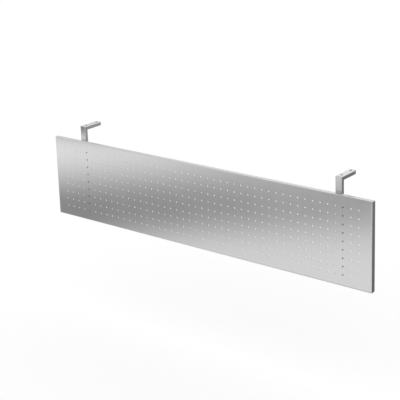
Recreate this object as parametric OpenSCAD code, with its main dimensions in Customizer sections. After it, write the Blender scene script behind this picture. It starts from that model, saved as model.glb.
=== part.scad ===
// Modesty panel for a desk: a perforated sheet-steel tray that hangs from two L-shaped tube
// brackets. Each bracket's arm screws up against the underside of the desktop.
// Millimetres. X runs along the panel, Y from its front face towards the sitter, Z up.
// The origin lies on top of the left arm, midway between its two desk screws.

/* [Panel] */
// Width of the folded tray
panel_w = 1356; // [900:2:1800]
// Height of the folded tray
panel_h = 300; // [200:5:420]
// Depth of the tray, from its front face to the back of its return lips
panel_d = 17; // [12:0.5:30]
// Thickness of the sheet
sheet_t = 1.5; // [0.8:0.1:2]
// Inside radius of the folds
fold_r = 1.5; // [0.5:0.1:2]
// Radius of the welded and ground outer corners, seen from the front
corner_r = 1.5; // [0.5:0.1:4]
// Height of the return lips behind the top and bottom flanges
lip_h = 24; // [20:1:32]
// Gap between the end of a lip and the side flange
lip_gap = 1.5; // [0.5:0.1:4]
// Size of the corner cut off the free end of each lip
lip_trim = 6; // [2:0.5:10]

/* [Perforation] */
// Distance between the centres of neighbouring holes, along and up
pitch = 28; // [20:1:40]
// Diameter of the round holes
hole_d = 5; // [3:0.1:8]
// Least distance from a hole's centre to the left or right edge
side_margin = 46; // [30:1:80]
// Least distance from a hole's centre to the top or bottom edge
end_margin = 34; // [34:1:60]

/* [Brackets] */
// Distance from each end of the panel to its bracket's centre line
bracket_inset = 130; // [60:1:250]
// Width of the bracket tube, along the panel
tube_w = 23.5; // [18:0.5:30]
// Thickness of the bracket tube
tube_d = 13.5; // [10:0.5:20]
// Wall of the bracket tube
tube_t = 1.5; // [1:0.1:2]
// Outside corner radius of the bracket tube
tube_r = 1.5; // [1.5:0.1:3]
// Height of the arms' top faces above the panel's top edge
arm_rise = 53; // [30:1:120]
// Height of the upright's open lower end above the panel's bottom edge
foot_rise = 5; // [4:0.5:6]

/* [Desk screws] */
// Diameter of the screw holes through each arm
desk_hole_d = 7.5; // [5:0.1:8]
// Distance between the two screw holes of an arm
desk_hole_gap = 54; // [40:1:100]
// Distance from the upright's back face to the front screw hole
desk_hole_setback = 4.5; // [4.5:0.5:8]
// Distance from the rear screw hole to the open end of the arm tube
desk_hole_end = 9; // [9:1:60]

/* [Panel screws] */
// Distance from the panel's top or bottom edge to the screws through the uprights
fixing_inset = 14; // [12:0.5:16]
// Diameter of the screw holes through each upright
fixing_d = 5.5; // [4.5:0.1:6]
// Diameter of the holes in the lips, which hold rivet nuts
nut_hole_d = 7; // [6:0.1:8]

/* [End caps] */
// Thickness of a cap's flange
cap_t = 3; // [2:0.1:4]
// Radius round the edge of a cap's flange
cap_edge_r = 1; // [0.4:0.1:1.5]
// Depth of the plug that goes into the tube
plug_l = 5; // [3:0.5:5]
// Clearance all round between the plug and the tube
plug_clearance = 0.1; // [0.05:0.05:0.3]
// Wall of the hollow plug
plug_t = 1.5; // [1:0.1:2]

/* [Hidden] */
$fn = 48;
// Overshoot of a cut past the face that it opens
cut = 1;
// Outside radius of the folds
fold_out_r = fold_r + sheet_t;
// Number of holes along and up, as many as the margins leave room for
columns = 1 + floor((panel_w - 2 * side_margin) / pitch);
rows = 1 + floor((panel_h - 2 * end_margin) / pitch);
// Distance between the brackets' centre lines
bracket_gap = panel_w - 2 * bracket_inset;
// Length of the arm tube, from the upright's front face to its open end
arm_l = tube_d + desk_hole_setback + desk_hole_gap + desk_hole_end;
// The upright's front face, which lies against the back of the lips
upright_y = -desk_hole_gap / 2 - desk_hole_setback - tube_d;
// The panel's middle: centre of its width, its front face, and half its height
panel_x = bracket_gap / 2;
panel_y = upright_y - panel_d;
panel_top = -arm_rise;
panel_z = panel_top - panel_h / 2;
// The upright's open lower end
foot_z = panel_top - panel_h + foot_rise;
// Heights of the screws that hold the panel to the uprights
fixing_heights = [panel_top - fixing_inset, panel_top - panel_h + fixing_inset];

panel_colour = [0.72, 0.72, 0.73];
tube_colour = [0.68, 0.68, 0.69];
cap_colour = [0.3, 0.3, 0.31];

// Outlines

// Rectangle round the origin with four round corners
module rounded_rectangle(size, r) {
    square([size[0] - 2 * r, size[1]], center = true);
    square([size[0], size[1] - 2 * r], center = true);
    for (x = [-1, 1], y = [-1, 1])
        translate([x * (size[0] / 2 - r), y * (size[1] / 2 - r)])
            circle(r);
}

// Rectangle from y = 0 back to y = depth with its two front corners round
module rounded_front(width, depth, r) {
    translate([-width / 2, r])
        square([width, depth - r]);
    translate([-width / 2 + r, 0])
        square([width - 2 * r, depth]);
    for (x = [-1, 1])
        translate([x * (width / 2 - r), r])
            circle(r);
}

// Cross-section of the bracket tube
module tube_outline() {
    difference() {
        rounded_rectangle([tube_w, tube_d], tube_r);
        tube_bore_outline(0);
    }
}

// Inside of the bracket tube, made smaller all round by inset
module tube_bore_outline(inset) {
    bore = [tube_w - 2 * tube_t - 2 * inset, tube_d - 2 * tube_t - 2 * inset];
    rounded_rectangle(bore, max(tube_r - tube_t, 0.4));
}

// Panel

// Outside or inside of the folded tray: lengthways its section is round at all four folds, and
// from above only at the front, where the side flanges fold back
module tray_block(inset, r, back) {
    depth = panel_d - 2 * inset;
    intersection() {
        translate([-panel_w / 2 + inset, inset + depth / 2, 0])
            rotate([90, 0, 90])
                linear_extrude(panel_w - 2 * inset)
                    rounded_rectangle([depth, panel_h - 2 * inset], r);
        translate([0, inset, -panel_h / 2 + inset])
            linear_extrude(panel_h - 2 * inset)
                rounded_front(panel_w - 2 * inset, panel_d - inset + back, r);
    }
}

// Outline of the opening between the return lips, seen from behind: it widens at both ends,
// where each lip stops short of the side flange and has its free corner trimmed
module lip_opening_outline() {
    half_w = panel_w / 2 - sheet_t;
    lip_end = half_w - lip_gap;
    half_h = panel_h / 2 - sheet_t - fold_r;
    lip_edge = panel_h / 2 - lip_h;
    for (z = [-1, 1])
        polygon([
            [-half_w, 0],
            [half_w, 0],
            [half_w, z * half_h],
            [lip_end, z * half_h],
            [lip_end, z * (lip_edge + lip_trim)],
            [lip_end - lip_trim, z * lip_edge],
            [-lip_end + lip_trim, z * lip_edge],
            [-lip_end, z * (lip_edge + lip_trim)],
            [-lip_end, z * half_h],
            [-half_w, z * half_h]
        ]);
}

// Square grid of round holes, centred on the front sheet
module perforation() {
    for (column = [0 : columns - 1], row = [0 : rows - 1])
        translate([
            (column - (columns - 1) / 2) * pitch,
            -cut,
            (row - (rows - 1) / 2) * pitch
        ])
            rotate([-90, 0, 0])
                cylinder(h = sheet_t + 2 * cut, d = hole_d);
}

// Holes for the rivet nuts in both lips, behind the uprights
module nut_holes() {
    for (x = [0, bracket_gap], z = fixing_heights)
        translate([x - panel_x, panel_d - sheet_t - cut, z - panel_z])
            rotate([-90, 0, 0])
                cylinder(h = sheet_t + 2 * cut, d = nut_hole_d);
}

// The tray: one sheet, folded back on all four sides and folded in again at top and bottom
module panel() {
    color(panel_colour)
        translate([panel_x, panel_y, panel_z])
            difference() {
                intersection() {
                    tray_block(0, fold_out_r, 0);
                    rotate([-90, 0, 0])
                        linear_extrude(panel_d)
                            rounded_rectangle([panel_w, panel_h], corner_r);
                }
                tray_block(sheet_t, fold_r, cut);
                translate([0, panel_d + cut, 0])
                    rotate([90, 0, 0])
                        linear_extrude(sheet_t + 2 * cut)
                            lip_opening_outline();
                perforation();
                nut_holes();
            }
}

// Brackets

// Half-space above or below the 45-degree mitre where the upright meets the arm
module mitre_cut(above) {
    reach = 2 * (arm_l + arm_rise + panel_h);
    translate([0, upright_y, 0])
        rotate([-45, 0, 0])
            translate([-reach / 2, -reach / 2, above ? 0 : -reach])
                cube(reach);
}

// Upright tube, mitred at its top and drilled for the panel's screws
module upright(x) {
    color(tube_colour)
        translate([x, 0, 0])
            difference() {
                translate([0, upright_y + tube_d / 2, foot_z])
                    linear_extrude(-foot_z)
                        tube_outline();
                mitre_cut(true);
                for (z = fixing_heights)
                    translate([0, upright_y - cut, z])
                        rotate([-90, 0, 0])
                            cylinder(h = tube_d + 2 * cut, d = fixing_d);
            }
}

// Arm tube, mitred at its front and drilled for the desk screws
module arm(x) {
    color(tube_colour)
        translate([x, 0, 0])
            difference() {
                translate([0, upright_y + arm_l, -tube_d / 2])
                    rotate([90, 0, 0])
                        linear_extrude(arm_l)
                            tube_outline();
                mitre_cut(false);
                for (y = [-1, 1])
                    translate([0, y * desk_hole_gap / 2, -tube_d - cut])
                        cylinder(h = tube_d + 2 * cut, d = desk_hole_d);
            }
}

// Flange of a cap, as wide and deep as its tube, with its outer edge rounded
module cap_flange() {
    intersection() {
        linear_extrude(cap_t)
            rounded_rectangle([tube_w, tube_d], tube_r);
        translate([0, tube_d, 0])
            rotate([90, 0, 0])
                linear_extrude(2 * tube_d)
                    rounded_front(tube_w, cap_t, cap_edge_r);
        translate([-tube_w, 0, 0])
            rotate([90, 0, 90])
                linear_extrude(2 * tube_w)
                    rounded_front(tube_d, cap_t, cap_edge_r);
    }
}

// Push-in cap, drawn on its tube's axis with the tube's end at z = 0 and the tube above it
module end_cap() {
    color(cap_colour) {
        translate([0, 0, -cap_t])
            cap_flange();
        linear_extrude(plug_l)
            difference() {
                tube_bore_outline(plug_clearance);
                tube_bore_outline(plug_clearance + plug_t);
            }
    }
}

module arm_cap(x) {
    translate([x, upright_y + arm_l, -tube_d / 2])
        rotate([90, 0, 0])
            end_cap();
}

module foot_cap(x) {
    translate([x, upright_y + tube_d / 2, foot_z])
        end_cap();
}

module left_upright() {
    upright(0);
}

module right_upright() {
    upright(bracket_gap);
}

module left_arm() {
    arm(0);
}

module right_arm() {
    arm(bracket_gap);
}

module left_arm_cap() {
    arm_cap(0);
}

module right_arm_cap() {
    arm_cap(bracket_gap);
}

module left_foot_cap() {
    foot_cap(0);
}

module right_foot_cap() {
    foot_cap(bracket_gap);
}

panel();
left_upright();
right_upright();
left_arm();
right_arm();
left_arm_cap();
right_arm_cap();
left_foot_cap();
right_foot_cap();
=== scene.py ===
"""Looks of the desk modesty panel: its brushed steel, its small fasteners and a plain studio.

Metres throughout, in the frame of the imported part: X along the panel, Y from its front face
towards the sitter, Z up. The origin lies on top of the left arm.
"""
import math

import bmesh
import bpy
from mathutils import Matrix, Vector, noise


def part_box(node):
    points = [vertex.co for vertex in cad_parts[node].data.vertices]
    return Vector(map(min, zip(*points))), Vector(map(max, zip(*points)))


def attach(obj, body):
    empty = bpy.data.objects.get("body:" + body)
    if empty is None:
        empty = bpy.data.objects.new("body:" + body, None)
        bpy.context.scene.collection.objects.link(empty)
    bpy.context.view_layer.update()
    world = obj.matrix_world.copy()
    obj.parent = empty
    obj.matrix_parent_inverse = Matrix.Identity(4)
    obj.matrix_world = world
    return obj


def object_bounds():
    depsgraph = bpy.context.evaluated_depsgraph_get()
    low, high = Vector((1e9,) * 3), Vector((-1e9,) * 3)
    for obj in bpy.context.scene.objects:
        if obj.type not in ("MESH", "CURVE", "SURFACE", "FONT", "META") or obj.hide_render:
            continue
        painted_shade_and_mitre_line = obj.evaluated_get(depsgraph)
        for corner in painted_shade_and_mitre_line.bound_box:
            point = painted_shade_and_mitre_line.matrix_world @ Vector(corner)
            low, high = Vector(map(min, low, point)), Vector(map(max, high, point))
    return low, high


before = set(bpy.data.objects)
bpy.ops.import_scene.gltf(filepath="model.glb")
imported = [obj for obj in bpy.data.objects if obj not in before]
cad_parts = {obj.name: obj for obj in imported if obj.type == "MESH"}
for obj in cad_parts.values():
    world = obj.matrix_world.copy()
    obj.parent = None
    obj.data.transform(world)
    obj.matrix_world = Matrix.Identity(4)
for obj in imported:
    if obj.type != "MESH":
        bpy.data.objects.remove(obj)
cad_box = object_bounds()

MM = 0.001

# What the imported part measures

panel_low, panel_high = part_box("panel")
left_low, left_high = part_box("left_upright")
right_low, right_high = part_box("right_upright")
arm_low, arm_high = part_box("left_arm")
part_low, part_high = cad_box

bracket_xs = [(left_low.x + left_high.x) / 2, (right_low.x + right_high.x) / 2]
upright_front = left_low.y
upright_back = left_high.y
tube_depth = upright_back - upright_front
tube_width = left_high.x - left_low.x
arm_underside = arm_low.z

# What the frame doesn't give: the walls, and where the screws go through the uprights

sheet_thickness = 1.5 * MM
tube_wall = 1.5 * MM
fixing_inset = 14 * MM
fixing_heights = [panel_high.z - fixing_inset, panel_low.z + fixing_inset]


# Node trees


class Value:
    """A number, colour or vector in a node tree. Sums and products of values add Math nodes."""

    def __init__(self, tree, socket):
        self.tree = tree
        self.socket = socket

    def __add__(self, other):
        return self.tree.math("ADD", self, other)

    def __radd__(self, other):
        return self.tree.math("ADD", other, self)

    def __sub__(self, other):
        return self.tree.math("SUBTRACT", self, other)

    def __rsub__(self, other):
        return self.tree.math("SUBTRACT", other, self)

    def __mul__(self, other):
        return self.tree.math("MULTIPLY", self, other)

    def __rmul__(self, other):
        return self.tree.math("MULTIPLY", other, self)

    def __truediv__(self, other):
        return self.tree.math("DIVIDE", self, other)

    def __abs__(self):
        return self.tree.math("ABSOLUTE", self)


class Tree:
    """The node tree of a finish, a stage colour or the world."""

    def __init__(self, owner):
        owner.use_nodes = True
        self.nodes = owner.node_tree.nodes
        self.links = owner.node_tree.links
        self.nodes.clear()

    def node(self, kind, settings, sockets, output=0):
        """Adds a node: its settings first, then the values or links of its sockets. Gives the
        value of one output, or of each output in a list, and None if the node has no output."""
        made = self.nodes.new(kind)
        for name, setting in settings.items():
            if name == "stops":
                set_stops(made.color_ramp, setting)
            else:
                setattr(made, name, setting)
        for name, value in sockets.items():
            if isinstance(value, Value):
                self.links.new(value.socket, made.inputs[name])
            else:
                made.inputs[name].default_value = value
        if isinstance(output, list):
            return [Value(self, made.outputs[name]) for name in output]
        return Value(self, made.outputs[output]) if len(made.outputs) else None

    def math(self, operation, *values):
        return self.node("ShaderNodeMath", {"operation": operation}, dict(enumerate(values)))

    def larger(self, first, second):
        return self.math("MAXIMUM", first, second)

    def smaller(self, first, second):
        return self.math("MINIMUM", first, second)

    def band(self, value, start, end):
        """0 below start, 1 above end, and a smooth step between them. End may be below start."""
        settings = {"interpolation_type": "SMOOTHSTEP"}
        return self.node("ShaderNodeMapRange", settings, {
            "Value": value, "From Min": start, "From Max": end,
        })

    def parts(self, vector):
        """The X, Y and Z of a vector, as numbers."""
        return self.node("ShaderNodeSeparateXYZ", {}, {"Vector": vector}, ["X", "Y", "Z"])

    def vector(self, x, y, z):
        return self.node("ShaderNodeCombineXYZ", {}, {"X": x, "Y": y, "Z": z})

    def noise(self, vector, scale, detail=2.0):
        """Cloudy noise from 0 to 1, with about scale lumps to a metre."""
        return self.node("ShaderNodeTexNoise", {}, {
            "Vector": vector, "Scale": scale, "Detail": detail,
        })

    def place(self):
        """The point's place in metres."""
        return self.node("ShaderNodeTexCoord", {}, {}, "Object")

    def facing(self):
        """The surface's own direction."""
        return self.node("ShaderNodeNewGeometry", {}, {}, "Normal")

    def ramp(self, value, stops):
        """A grey by value: stops are pairs of a value and its grey, and greys may pass 1."""
        first, last = stops[0][0], stops[-1][0]
        brightest = max(tone for place, tone in stops)
        shares = [((place - first) / (last - first), tone / brightest) for place, tone in stops]
        share = (value - first) / (last - first)
        return brightest * self.node("ShaderNodeValToRGB", {"stops": shares}, {"Fac": share})

    def mix_colour(self, factor, first, second):
        """The first colour where factor is 0, and the second where it is 1. A Mix node has its
        colours at inputs 6 and 7 and at output 2."""
        settings = {"data_type": "RGBA", "blend_type": "MIX"}
        return self.node("ShaderNodeMix", settings, {0: factor, 6: first, 7: second}, 2)


def set_stops(ramp, stops):
    """Gives a colour ramp its stops: pairs of a place and a grey, both from 0 to 1."""
    while len(ramp.elements) < len(stops):
        ramp.elements.new(1.0)
    for element, (place, tone) in zip(ramp.elements, stops):
        element.position = place
        element.color = grey(tone)


def grey(tone):
    return (tone, tone, tone, 1.0)


# Finishes

# Metal: its tone between the brush lines, as a share, what full lines and smudges add to it, the
# same of its roughness, how much rougher it is under its painted shade and mitre line, and the
# relief of the lines
GROUND_TONE = 0.94
LINE_TONE = 0.09
SMUDGE_TONE = 0.05
GROUND_ROUGHNESS = 0.85
LINE_ROUGHNESS = 0.3
SMUDGE_ROUGHNESS = 0.06
RAW_ROUGHNESS = 0.25
LINE_BUMP = 0.35
LINE_DEPTH = 0.02 * MM
# Lines and smudges to a metre, and how far the noise is squeezed in the direction that the lines
# take, which on the sheet's top and bottom flanges is from front to back
SHEET_FINE_LINES = 1600.0
SHEET_FINE_SQUEEZE = 0.012
SHEET_BROAD_LINES = 260.0
SHEET_BROAD_SQUEEZE = 0.03
SHEET_FLANGE_SQUEEZE = 0.04
SHEET_SMUDGES = 7.0
TUBE_FINE_LINES = 1500.0
TUBE_BROAD_LINES = 320.0
TUBE_SQUEEZE = 0.02
TUBE_SMUDGES = 40.0
# How dark the metal is painted, as shade, on the walls of the punched holes; how dark the back of
# the front sheet is, as a duller mill finish and painted shade for the gap behind it; how dark it
# is painted, as shade, in the tubes and their screw holes and on the uprights behind the sheet; how
# dark the ground mitre line is; and how much of the brush lines is missing on the milled back
HOLE_WALL_PAINTED_SHADE = 0.92
MILL_BACK_AND_SHADE = 0.35
TUBE_INSIDE_PAINTED_SHADE = 0.75
UPRIGHT_PAINTED_SHADE = 0.75
MITRE_LINE = 0.2
MILL_SMOOTH = 0.8
# Where each mark starts and where it is full. By how much a face points along an axis, for level
# flanges, punched walls, the milled back and the screw holes' walls:
LEVEL_FACING = (0.6, 0.8)
PUNCHED_FACING = (0.9, 0.7)
MILL_FACING = (0.7, 0.9)
DRILLED_FACING = (0.7, 0.3)
# By distance in from the sheet's edges, behind its inner face and behind its front face:
PUNCHED_INSET = (6 * MM, 8 * MM)
PUNCHED_BEHIND = (0.2 * MM, 0.1 * MM)
MILL_DEPTH = (6 * MM, 4 * MM)
# By distance from the mitre, below the sheet's top and behind an upright's front face:
MITRE_REACH = (0.9 * MM, 0.3 * MM)
COVERED_BELOW = (2 * MM, 4 * MM)
COVERED_DEPTH = (13 * MM, 5 * MM)
# Plastic: grains and clouds to a metre, the clouds' darkest and lightest share of its tone, what
# the grain adds to its roughness, and the grain's relief
PLASTIC_GRAINS = 2600.0
PLASTIC_CLOUDS = 120.0
PLASTIC_TONES = (0.85, 1.15)
PLASTIC_GRAIN_ROUGHNESS = 0.1
PLASTIC_BUMP = 0.4
PLASTIC_GRAIN_DEPTH = 0.05 * MM
# Plating: the same of its mottle
PLATING_MOTTLES = 900.0
PLATING_TONES = (0.85, 1.1)
PLATING_MOTTLE_ROUGHNESS = 0.12

panel_middle = (panel_low + panel_high) / 2
panel_half = (panel_high - panel_low) / 2
upright_middle = (upright_front + upright_back) / 2
brackets_middle = sum(bracket_xs) / 2
brackets_half = (bracket_xs[1] - bracket_xs[0]) / 2


def metal_finish(name, pattern, tone, roughness, anisotropy):
    """Brushed or satin metal. pattern gives its brush lines and its smudges, from 0 to 1, and how
    dark it is painted in shade or marked by the mitre line, from 0 on the brushed faces up to 1."""
    material = bpy.data.materials.new(name)
    tree = Tree(material)
    lines, smudges, painted_shade_and_seam = pattern(tree)
    # The darkening mask takes the colour down: painted shade in the recesses and behind the sheet,
    # and the real mitre line
    shade = (GROUND_TONE + LINE_TONE * lines + SMUDGE_TONE * (smudges - 0.5)) * (1.0 - painted_shade_and_seam)
    colour = tree.mix_colour(shade, grey(0.0), grey(tone))
    brushed = roughness * (GROUND_ROUGHNESS + LINE_ROUGHNESS * lines)
    rough = brushed + SMUDGE_ROUGHNESS * (smudges - 0.5) + RAW_ROUGHNESS * painted_shade_and_seam
    relief = tree.node("ShaderNodeBump", {}, {
        "Strength": LINE_BUMP, "Distance": LINE_DEPTH, "Height": lines,
    })
    surface = tree.node("ShaderNodeBsdfPrincipled", {}, {
        "Base Color": colour, "Metallic": 1.0, "Roughness": rough,
        "Anisotropic": anisotropy, "Normal": relief,
    })
    tree.node("ShaderNodeOutputMaterial", {}, {"Surface": surface})
    return material


def sheet_pattern(tree):
    """Brush lines that run up the front sheet, the side flanges and the lips, and from front to
    back on the top and bottom flanges, as on a sheet that is brushed before it is folded. The
    punched walls of the holes are painted nearly black as shade, and the back of the front sheet
    has a duller mill finish, darkened further with painted shade."""
    x, y, z = tree.parts(tree.place())
    facing_x, facing_y, facing_z = tree.parts(tree.facing())
    level = tree.band(abs(facing_z), *LEVEL_FACING)
    across_y = y * (1.0 - (1.0 - SHEET_FLANGE_SQUEEZE) * level)
    fine_place = tree.vector(x, across_y, z * SHEET_FINE_SQUEEZE)
    fine = tree.noise(fine_place, SHEET_FINE_LINES, detail=1.0)
    broad_place = tree.vector(x, across_y, z * SHEET_BROAD_SQUEEZE)
    broad = tree.noise(broad_place, SHEET_BROAD_LINES)
    smudges = tree.noise(tree.vector(x, y, z), SHEET_SMUDGES)
    depth = y - panel_low.y
    wall = tree.band(abs(facing_y), *PUNCHED_FACING)
    in_sheet = tree.band(depth - sheet_thickness, *PUNCHED_BEHIND)
    inner_x = tree.band(panel_half.x - abs(x - panel_middle.x), *PUNCHED_INSET)
    inner_z = tree.band(panel_half.z - abs(z - panel_middle.z), *PUNCHED_INSET)
    # Painted shade: the punched hole walls are darkened almost to black
    painted_hole_wall_shade = wall * in_sheet * inner_x * inner_z
    # Mill finish on the sheet's back: fewer brush lines and more roughness, and a darker colour
    # that is painted shade for the gap behind the sheet
    mill_and_shade = tree.band(facing_y, *MILL_FACING) * tree.band(depth, *MILL_DEPTH)
    lines = 0.5 + (0.6 * fine + 0.4 * broad - 0.5) * (1.0 - MILL_SMOOTH * mill_and_shade)
    return lines, smudges, HOLE_WALL_PAINTED_SHADE * painted_hole_wall_shade + MILL_BACK_AND_SHADE * mill_and_shade


def tube_pattern(lengthwise, across_middle):
    """Brush lines along a tube, which runs along axis number lengthwise: 1 for an arm and 2 for an
    upright. across_middle gives the tube's middle plane, front to back or from top to bottom. The
    inside and the screw holes' walls are darkened with painted shade, an upright carries painted
    shade where the sheet covers it, and the ground weld of the mitre shows as a faint dark line."""
    screw_axis = 2 if lengthwise == 1 else 1

    def pattern(tree):
        place = tree.parts(tree.place())
        x, y, z = place
        squeezed = tree.vector(*[
            axis * (TUBE_SQUEEZE if number == lengthwise else 1.0)
            for number, axis in enumerate(place)
        ])
        fine = tree.noise(squeezed, TUBE_FINE_LINES, detail=1.0)
        broad = tree.noise(squeezed, TUBE_BROAD_LINES, detail=1.0)
        smudges = tree.noise(tree.vector(x, y, z), TUBE_SMUDGES, detail=3.0)
        seam = tree.band(abs(y - upright_front + z), *MITRE_REACH)
        sideways = abs(abs(x - brackets_middle) - brackets_half)
        across = abs(place[screw_axis] - across_middle)
        inside_x = tree.band(tube_width / 2 - sideways, tube_wall / 2, tube_wall)
        inside = inside_x * tree.band(tube_depth / 2 - across, tube_wall / 2, tube_wall)
        along_screw = abs(tree.parts(tree.facing())[screw_axis])
        drilled = inside_x * tree.band(along_screw, *DRILLED_FACING)
        below_top = tree.band(panel_high.z - z, *COVERED_BELOW)
        # Painted shade on the upright behind the sheet, fading out towards the tube's back
        painted_shade_behind_sheet = below_top * tree.band(y - upright_front, *COVERED_DEPTH)
        # Painted shade inside the tubes and on the screw holes' walls
        painted_inside_shade = TUBE_INSIDE_PAINTED_SHADE * tree.larger(inside, drilled)
        painted_shade_and_mitre_line = tree.larger(UPRIGHT_PAINTED_SHADE * painted_shade_behind_sheet, MITRE_LINE * seam)
        return 0.5 * fine + 0.5 * broad, smudges, tree.larger(painted_inside_shade, painted_shade_and_mitre_line)

    return pattern


def plastic_finish(name, tone, roughness):
    """Moulded plastic with a fine spark-eroded grain."""
    material = bpy.data.materials.new(name)
    tree = Tree(material)
    grain = tree.noise(tree.place(), PLASTIC_GRAINS)
    clouds = tree.noise(tree.place(), PLASTIC_CLOUDS)
    dark, light = PLASTIC_TONES
    colour = tree.mix_colour(clouds, grey(tone * dark), grey(tone * light))
    relief = tree.node("ShaderNodeBump", {}, {
        "Strength": PLASTIC_BUMP, "Distance": PLASTIC_GRAIN_DEPTH, "Height": grain,
    })
    surface = tree.node("ShaderNodeBsdfPrincipled", {}, {
        "Base Color": colour, "Roughness": roughness + PLASTIC_GRAIN_ROUGHNESS * grain,
        "Normal": relief,
    })
    tree.node("ShaderNodeOutputMaterial", {}, {"Surface": surface})
    return material


def plated_finish(name, tone, roughness):
    """Zinc plating or bare weld metal: bright, with a faint crystalline mottle."""
    material = bpy.data.materials.new(name)
    tree = Tree(material)
    mottle = tree.noise(tree.place(), PLATING_MOTTLES, detail=3.0)
    dark, light = PLATING_TONES
    colour = tree.mix_colour(mottle, grey(tone * dark), grey(tone * light))
    surface = tree.node("ShaderNodeBsdfPrincipled", {}, {
        "Base Color": colour, "Metallic": 1.0,
        "Roughness": roughness + PLATING_MOTTLE_ROUGHNESS * mottle,
    })
    tree.node("ShaderNodeOutputMaterial", {}, {"Surface": surface})
    return material


SHEET_METAL = {"tone": 0.70, "roughness": 0.30, "anisotropy": 0.7}
TUBE_METAL = {"tone": 0.74, "roughness": 0.22, "anisotropy": 0.3}
brushed_sheet = metal_finish("brushed_sheet", sheet_pattern, **SHEET_METAL)
satin_upright = metal_finish("satin_upright", tube_pattern(2, upright_middle), **TUBE_METAL)
satin_arm = metal_finish("satin_arm", tube_pattern(1, arm_underside / 2), **TUBE_METAL)
cap_plastic = plastic_finish("cap_plastic", tone=0.06, roughness=0.5)
zinc_plate = plated_finish("zinc_plate", tone=0.66, roughness=0.25)
weld_metal = plated_finish("weld_metal", tone=0.50, roughness=0.42)

NODE_FINISHES = {
    "panel": brushed_sheet,
    "left_upright": satin_upright,
    "right_upright": satin_upright,
    "left_arm": satin_arm,
    "right_arm": satin_arm,
    "left_arm_cap": cap_plastic,
    "right_arm_cap": cap_plastic,
    "left_foot_cap": cap_plastic,
    "right_foot_cap": cap_plastic,
}
for node_name, finish in NODE_FINISHES.items():
    node_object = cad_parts[node_name]
    for material_slot in node_object.material_slots:
        material_slot.material = finish


# Fastenings and welds

TURN_STEPS = 48
# An edge that bends by less than this looks smooth
CREASE = math.radians(32)
# Button-head screw, M5, with a washer, through each upright into a rivet nut in the lip
SCREW_RADIUS = 2.5 * MM
SCREW_LENGTH = 25 * MM
THREAD_LENGTH = 18 * MM
THREAD_PITCH = 0.8 * MM
THREAD_DEPTH = 0.45 * MM
THREAD_STEPS = 6
HEAD_RADIUS = 4.75 * MM
HEAD_HEIGHT = 2.75 * MM
HEAD_TOP_RADIUS = 2.3 * MM
HEAD_EDGE = 0.15 * MM
HEAD_EDGE_INSET = 0.2 * MM
# The dome bulges out from a cone, rises late and turns in later still
DOME_STEPS = 8
DOME_BULGE = 0.5786 * MM
DOME_RISE = 1.15
DOME_TURN = 1.6
SOCKET_ACROSS_FLATS = 3 * MM
SOCKET_DEPTH = 1.6 * MM
SOCKET_EDGE = 0.15 * MM
SOCKET_POINT_DEPTH = 0.4 * MM
SOCKET_POINT_RADIUS = 0.3 * MM
WASHER_RADIUS = 5 * MM
WASHER_THICKNESS = 1 * MM
WASHER_BORE_RADIUS = 2.65 * MM
WASHER_EDGE = 0.15 * MM
NUT_RADIUS = 3.45 * MM
NUT_BORE_RADIUS = 2.1 * MM
NUT_LENGTH = 11 * MM
NUT_BULGE_RADIUS = 4.7 * MM
NUT_BULGE_LENGTH = 2.4 * MM
NUT_BULGE_STEPS = 8
NUT_BULGE_FULLNESS = 0.6
NUT_CHAMFER = 0.5 * MM
# Two short fillet welds where the arm's underside meets the upright's back: their leg, and how far
# they keep from the tube's sides and from its middle, where the front desk screw passes
WELD_LEG = 2.2 * MM
WELD_INSET = 1.8 * MM
WELD_CLEAR = 4.6 * MM
WELD_STEPS = 40
WELD_ARC_STEPS = 8
# How far the beads sink into the tubes, how hollow their face is, and how much of their section
# is left at their ends
WELD_SINK = 0.1 * MM
WELD_HOLLOW = 1.3
WELD_END_SECTION = 0.05
# Their ripples: length, the leg's size in the troughs and what the crests add, and how far they
# bow along the bead. Then how far the bead wanders, and over which length
WELD_RIPPLE = 1.1 * MM
WELD_TROUGH = 0.92
WELD_CREST = 0.12
WELD_BOW = 0.5 * MM
WELD_WANDER = 0.12 * MM
WELD_WANDER_LENGTH = 4 * MM


def hexagon(across_flats):
    """The radius of a hexagon by angle."""

    def radius(angle):
        from_flat = (angle + math.radians(30)) % math.radians(60) - math.radians(30)
        return across_flats / 2 / math.cos(from_flat)

    return radius


def thread(height):
    """The radius of the screw's thread by angle, at one height along the screw."""

    def radius(angle):
        turn = (height / THREAD_PITCH + angle / math.tau) % 1.0
        return SCREW_RADIUS - THREAD_DEPTH * abs(2 * turn - 1)

    return radius


def finish_piece(name, shape, material):
    """Turns a bmesh into a smooth piece with crisp edges, which rides with the part."""
    bmesh.ops.recalc_face_normals(shape, faces=shape.faces)
    for face in shape.faces:
        face.smooth = True
    for edge in shape.edges:
        edge.smooth = edge.calc_face_angle(math.pi) < CREASE
    mesh = bpy.data.meshes.new(name)
    shape.to_mesh(mesh)
    shape.free()
    mesh.materials.append(material)
    piece = bpy.data.objects.new(name, mesh)
    bpy.context.scene.collection.objects.link(piece)
    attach(piece, "root")


def turned_piece(name, outline, x, y, z, material, closed=False):
    """A turned piece on an axis that runs back along Y. The outline is pairs of a height along
    the axis and a radius, which is a number or a function of the angle. A closed outline comes
    back to its start, as a washer's does, and an open one is capped at both ends."""
    shape = bmesh.new()
    rings = []
    for height, radius in outline:
        ring = []
        for step in range(TURN_STEPS):
            angle = math.tau * step / TURN_STEPS
            reach = radius(angle) if callable(radius) else radius
            ring.append(shape.verts.new((
                x + reach * math.sin(angle), y + height, z + reach * math.cos(angle),
            )))
        rings.append(ring)
    following = rings[1:] + rings[:1] if closed else rings[1:]
    for ring, after in zip(rings, following):
        for step in range(TURN_STEPS):
            turn = (step + 1) % TURN_STEPS
            shape.faces.new((ring[step], ring[turn], after[turn], after[step]))
    if not closed:
        shape.faces.new(rings[0])
        shape.faces.new(rings[-1])
    finish_piece(name, shape, material)


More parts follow.
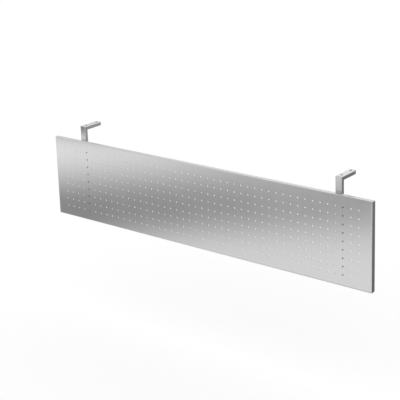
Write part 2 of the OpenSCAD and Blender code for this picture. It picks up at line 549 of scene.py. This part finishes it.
def add_screw(name, x, z):
    """A screw from its tip, in the rivet nut, back to its head on the upright's washer."""
    under_head = WASHER_THICKNESS
    tip = under_head - SCREW_LENGTH
    outline = [(tip, SCREW_RADIUS - THREAD_DEPTH)]
    for step in range(1, int(THREAD_LENGTH / THREAD_PITCH) * THREAD_STEPS):
        height = tip + step * THREAD_PITCH / THREAD_STEPS
        outline.append((height, thread(height)))
    outline.append((tip + THREAD_LENGTH, SCREW_RADIUS))
    outline.append((under_head, SCREW_RADIUS))
    outline.append((under_head, HEAD_RADIUS - HEAD_EDGE_INSET))
    outline.append((under_head + HEAD_EDGE, HEAD_RADIUS))
    for step in range(1, DOME_STEPS + 1):
        share = step / DOME_STEPS
        cone = HEAD_RADIUS + (HEAD_TOP_RADIUS - HEAD_RADIUS) * share ** DOME_TURN
        bulge = DOME_BULGE * math.sin(math.pi * share)
        outline.append((under_head + HEAD_HEIGHT * share ** DOME_RISE, cone + bulge))
    top = under_head + HEAD_HEIGHT
    socket = hexagon(SOCKET_ACROSS_FLATS)
    bottom = top - SOCKET_DEPTH
    outline.append((top - SOCKET_EDGE, hexagon(SOCKET_ACROSS_FLATS + 2 * SOCKET_EDGE)))
    outline.append((top - 2 * SOCKET_EDGE, socket))
    outline.append((bottom, socket))
    outline.append((bottom - SOCKET_POINT_DEPTH, SOCKET_POINT_RADIUS))
    turned_piece(name, outline, x, upright_back, z, zinc_plate)


def add_washer(name, x, z):
    """A flat washer on the upright's back, with softened outer edges."""
    outline = [
        (0.0, WASHER_BORE_RADIUS),
        (0.0, WASHER_RADIUS - WASHER_EDGE),
        (WASHER_EDGE, WASHER_RADIUS),
        (WASHER_THICKNESS - WASHER_EDGE, WASHER_RADIUS),
        (WASHER_THICKNESS, WASHER_RADIUS - WASHER_EDGE),
        (WASHER_THICKNESS, WASHER_BORE_RADIUS),
    ]
    turned_piece(name, outline, x, upright_back, z, zinc_plate, closed=True)


def add_rivet_nut(name, x, z):
    """Set flush in the lip. Its skirt is drawn up into a bulge against the lip's inner face."""
    outline = [(0.0, NUT_BORE_RADIUS), (0.0, NUT_RADIUS), (-sheet_thickness, NUT_RADIUS)]
    half = NUT_BULGE_LENGTH / 2
    swell = NUT_BULGE_RADIUS - NUT_RADIUS
    for step in range(1, NUT_BULGE_STEPS + 1):
        angle = math.pi * step / NUT_BULGE_STEPS
        height = -sheet_thickness - half + half * math.cos(angle)
        outline.append((height, NUT_RADIUS + swell * math.sin(angle) ** NUT_BULGE_FULLNESS))
    outline.append((-NUT_LENGTH + NUT_CHAMFER, NUT_RADIUS))
    outline.append((-NUT_LENGTH, NUT_RADIUS - NUT_CHAMFER))
    outline.append((-NUT_LENGTH, NUT_BORE_RADIUS))
    turned_piece(name, outline, x, upright_front, z, zinc_plate, closed=True)


def add_weld(name, x):
    """A short rippled bead in the corner under the arm, centred on x."""
    shape = bmesh.new()
    root_y = upright_back - WELD_SINK
    root_z = arm_underside + WELD_SINK
    half = (tube_width / 2 - WELD_INSET - WELD_CLEAR) / 2
    sections = []
    for step in range(WELD_STEPS + 1):
        along = -half + 2 * half * step / WELD_STEPS
        taper = math.sqrt(max(1.0 - (abs(along) / half) ** 4, WELD_END_SECTION))
        crest = math.sqrt(1.0 - (along / WELD_RIPPLE % 1.0) ** 2)
        leg = WELD_LEG * taper * (WELD_TROUGH + WELD_CREST * crest)
        wander = WELD_WANDER * noise.noise(Vector((along / WELD_WANDER_LENGTH, x, 0.5)))
        section = []
        for turn in range(WELD_ARC_STEPS + 1):
            angle = math.radians(90) * turn / WELD_ARC_STEPS
            section.append(shape.verts.new((
                x + along + WELD_BOW * math.sin(2 * angle) * taper,
                root_y + (leg + wander) * math.cos(angle) ** WELD_HOLLOW,
                root_z - (leg - wander) * math.sin(angle) ** WELD_HOLLOW,
            )))
        section.append(shape.verts.new((x + along, root_y, root_z)))
        sections.append(section)
    count = len(sections[0])
    for section, after in zip(sections, sections[1:]):
        for turn in range(count):
            other = (turn + 1) % count
            shape.faces.new((section[turn], section[other], after[other], after[turn]))
    shape.faces.new(sections[0])
    shape.faces.new(sections[-1])
    finish_piece(name, shape, weld_metal)


weld_middle = (tube_width / 2 - WELD_INSET + WELD_CLEAR) / 2
for side, bracket_x in zip(("left", "right"), bracket_xs):
    for level, fixing_z in zip(("upper", "lower"), fixing_heights):
        add_screw(f"{side}_{level}_screw", bracket_x, fixing_z)
        add_washer(f"{side}_{level}_washer", bracket_x, fixing_z)
        add_rivet_nut(f"{side}_{level}_rivet_nut", bracket_x, fixing_z)
    add_weld(f"{side}_mitre_weld_1", bracket_x - weld_middle)
    add_weld(f"{side}_mitre_weld_2", bracket_x + weld_middle)


# Camera

CAMERA_AZIMUTH = 38.94
CAMERA_ELEVATION = 15.02
CAMERA_ROLL = -1.90
CAMERA_DISTANCE = 3.9456
CAMERA_LENS = 103.3
# Lowers the view without tilting the camera, which keeps the upright edges nearly parallel
CAMERA_SHIFT = -0.2
# How far the aim lies to the left of the part's centre and above it
AIM_LEFT = 25.1 * MM
AIM_UP = 261.8 * MM


def add_camera():
    azimuth, elevation = math.radians(CAMERA_AZIMUTH), math.radians(CAMERA_ELEVATION)
    back = Vector((
        math.sin(azimuth) * math.cos(elevation),
        -math.cos(azimuth) * math.cos(elevation),
        math.sin(elevation),
    ))
    right = Vector((math.cos(azimuth), math.sin(azimuth), 0.0))
    turn = Matrix.Rotation(math.radians(CAMERA_ROLL), 3, back)
    right = turn @ right
    up = back.cross(right)
    aim = (part_low + part_high) / 2 - AIM_LEFT * right + AIM_UP * up
    camera = bpy.data.objects.new("camera", bpy.data.cameras.new("camera"))
    camera.data.lens = CAMERA_LENS
    camera.data.shift_y = CAMERA_SHIFT
    camera.matrix_world = Matrix.Translation(aim + CAMERA_DISTANCE * back) @ Matrix((
        right, up, back,
    )).transposed().to_4x4()
    bpy.context.scene.collection.objects.link(camera)
    bpy.context.scene.camera = camera


add_camera()


# Studio

# The floor is as far below the part's top as it is below the underside of a desktop
FLOOR_DROP = 720 * MM
floor_level = part_high.z - FLOOR_DROP
FLOOR_HALF = 20.0
FLOOR_PAINT = 0.86
# How much the floor glows by itself, which takes it to white, and the light that the room gives
FLOOR_GLOW = 0.24
ROOM_LIGHT = 0.9
# How much dimmer the room's left side is, and where that starts and is full, by how far a
# direction points to the right
DIM_SIDE = 0.2
DIM_SIDE_EDGE = (-0.45, -0.75)
# The same of its dark wall, by how far a direction points to it. Its own direction is an angle
# from -Y towards +X
DARK_WALL_AZIMUTH = math.radians(40)
DARK_WALL = 0.55
DARK_WALL_EDGE = (0.55, 0.85)

# The front card stands on the floor and faces along its heading, an angle from +Y towards +X
FRONT_CARD_CENTRE = Vector((0.07, -0.70, 0.0))
FRONT_CARD_HEADING = math.radians(38.5)
FRONT_CARD_WIDTH = 3.4
FRONT_CARD_FADE = 0.6
FRONT_CARD_TOP = 0.9
# The height, at the card's middle, of the line that the flat sheet's top end mirrors, and how
# fast the line falls to the right
FRONT_CARD_LINE = -0.309
FRONT_CARD_FALL = 0.25
# The card's greys: below the line by height, and above it from left to right, first in a band
# just above the line and then further up
FRONT_CARD_BANDS = [
    (-0.72, 0.94), (-0.66, 1.06), (-0.54, 0.29), (-0.42, 0.34), (-0.3, 0.89), (-0.22, 1.14),
    (-0.05, 1.02),
]
FRONT_CARD_NEAR = [
    (-0.75, 1.05), (-0.5, 0.0), (-0.2, 1.15), (0.1, 0.9), (0.36, 0.6), (0.52, 1.4),
    (0.72, 0.2),
]
FRONT_CARD_FAR = [(-1.0, 1.1), (-0.3, 0.85), (0.2, 0.55), (1.0, 0.2)]
# How far above the line the card has changed over, and where the band just above it gives way
FRONT_CARD_STEP = 0.035
FRONT_CARD_BAND = (0.14, 0.21)
# The floor card's corners, as an X and a Y, and its height over the floor
FLOOR_CARD_LOW = (-3.0, -3.5)
FLOOR_CARD_HIGH = (5.0, 5.0)
FLOOR_CARD_RISE = 10 * MM
# Where it begins to show, behind its front edge and to the right of its side edge
FLOOR_CARD_FRONT = -0.60
FLOOR_CARD_SIDE = 1.6
FLOOR_CARD_FADE = 0.3
# Its greys: the darkest and the lightest, and how much lighter it is before its front edge
FLOOR_CARD_DARKEST = 0.14
FLOOR_CARD_LIGHTEST = 0.95
FLOOR_CARD_FRONT_LIGHT = 0.6


def add_mesh(name, points, faces, material):
    mesh = bpy.data.meshes.new(name)
    mesh.from_pydata(points, [], faces)
    made = bpy.data.objects.new(name, mesh)
    made.data.materials.append(material)
    bpy.context.scene.collection.objects.link(made)
    return made


def seen_directly(tree):
    """1 for what the camera sees itself, in a mirror or through glass, and 0 for soft light."""
    kinds = ["Is Camera Ray", "Is Glossy Ray", "Is Transmission Ray"]
    camera, glossy, through = tree.node("ShaderNodeLightPath", {}, {}, kinds)
    return tree.larger(tree.larger(camera, glossy), through)


def add_floor():
    material = bpy.data.materials.new("studio_floor")
    tree = Tree(material)
    paint = tree.node("ShaderNodeBsdfDiffuse", {}, {"Color": grey(FLOOR_PAINT)})
    glow = tree.node("ShaderNodeEmission", {}, {"Color": FLOOR_GLOW * seen_directly(tree)})
    surface = tree.node("ShaderNodeAddShader", {}, {0: paint, 1: glow})
    tree.node("ShaderNodeOutputMaterial", {}, {"Surface": surface})
    corners = [(-1, -1), (1, -1), (1, 1), (-1, 1)]
    points = [(x * FLOOR_HALF, y * FLOOR_HALF, floor_level) for x, y in corners]
    add_mesh("studio_floor", points, [(0, 1, 2, 3)], material)


def add_world():
    """An even white room. Metal sees its left side a little dimmer than the rest, and a dark wall
    in front to the right, which draws the folds and the edges that face it."""
    world = bpy.data.worlds.new("studio")
    bpy.context.scene.world = world
    tree = Tree(world)
    x, y, z = tree.parts(tree.node("ShaderNodeTexCoord", {}, {}, "Generated"))
    mirrored = tree.node("ShaderNodeLightPath", {}, {}, "Is Glossy Ray")
    left = tree.band(x, *DIM_SIDE_EDGE)
    facing_wall = math.sin(DARK_WALL_AZIMUTH) * x - math.cos(DARK_WALL_AZIMUTH) * y
    wall = tree.band(facing_wall, *DARK_WALL_EDGE)
    dim = mirrored * (DIM_SIDE * left + DARK_WALL * wall)
    light = tree.node("ShaderNodeBackground", {}, {
        "Color": ROOM_LIGHT + (1.0 - ROOM_LIGHT) * seen_directly(tree) - dim,
    })
    tree.node("ShaderNodeOutputWorld", {}, {"Surface": light})


def add_card(name, points, tone):
    """A glowing card that only metal sees. tone gives two values of the place: its grey, which may
    pass 1, and its solidity, from 0 to 1."""
    material = bpy.data.materials.new(name)
    tree = Tree(material)
    shade, solid = tone(tree, *tree.parts(tree.place()))
    glow = tree.node("ShaderNodeEmission", {}, {"Color": shade})
    clear = tree.node("ShaderNodeBsdfTransparent", {}, {})
    surface = tree.node("ShaderNodeMixShader", {}, {0: solid, 1: clear, 2: glow})
    tree.node("ShaderNodeOutputMaterial", {}, {"Surface": surface})
    card = add_mesh(name, points, [(0, 1, 2, 3)], material)
    card.visible_camera = False
    card.visible_diffuse = False
    card.visible_transmission = False
    card.visible_shadow = False


def add_front_card():
    """An upright card in front of the panel, which gives the flat sheet its soft bright and dark
    bands. The brackets mirror the band just above the line, and the round fold along the sheet's
    top mirrors what is further up."""
    along = Vector((math.cos(FRONT_CARD_HEADING), -math.sin(FRONT_CARD_HEADING), 0.0))

    def tone(tree, x, y, z):
        place = (x - FRONT_CARD_CENTRE.x) * along.x + (y - FRONT_CARD_CENTRE.y) * along.y
        height = z - FRONT_CARD_LINE + FRONT_CARD_FALL * place
        lower = tree.ramp(z, FRONT_CARD_BANDS)
        near = tree.ramp(place, FRONT_CARD_NEAR)
        far = tree.ramp(place, FRONT_CARD_FAR)
        upper = near + tree.band(height, *FRONT_CARD_BAND) * (far - near)
        above = tree.band(height, 0.0, FRONT_CARD_STEP)
        end = FRONT_CARD_WIDTH / 2
        solid = tree.band(abs(place), end, end - FRONT_CARD_FADE)
        return lower + above * (upper - lower), solid

    left = FRONT_CARD_CENTRE - along * FRONT_CARD_WIDTH / 2
    right = FRONT_CARD_CENTRE + along * FRONT_CARD_WIDTH / 2
    top = FRONT_CARD_TOP
    corners = [(left, floor_level), (right, floor_level), (right, top), (left, top)]
    add_card("front_card", [(end.x, end.y, height) for end, height in corners], tone)


def add_floor_card():
    """A dark card on the floor, behind the panel and on to its right, which side walls, edges and
    hole walls mirror. It is lightest behind the panel's right half."""

    def tone(tree, x, y, z):
        behind = tree.band(y, FLOOR_CARD_FRONT, FLOOR_CARD_FRONT + FLOOR_CARD_FADE)
        beside = tree.band(x, FLOOR_CARD_SIDE, FLOOR_CARD_SIDE + FLOOR_CARD_FADE)
        # Two slopes, one down to the right and up to the back, and one down to the left
        lightest = tree.smaller(0.62 - 0.38 * x + 0.23 * y, 0.3 + 0.35 * x)
        shade = tree.larger(lightest, FLOOR_CARD_DARKEST) + FLOOR_CARD_FRONT_LIGHT * (1.0 - behind)
        return tree.smaller(shade, FLOOR_CARD_LIGHTEST), tree.larger(behind, beside)

    (left, front), (right, back) = FLOOR_CARD_LOW, FLOOR_CARD_HIGH
    corners = [(left, front), (right, front), (right, back), (left, back)]
    height = floor_level + FLOOR_CARD_RISE
    add_card("floor_card", [(x, y, height) for x, y in corners], tone)


add_floor()
add_world()
add_front_card()
add_floor_card()

scene = bpy.context.scene
scene.view_settings.view_transform = "Standard"
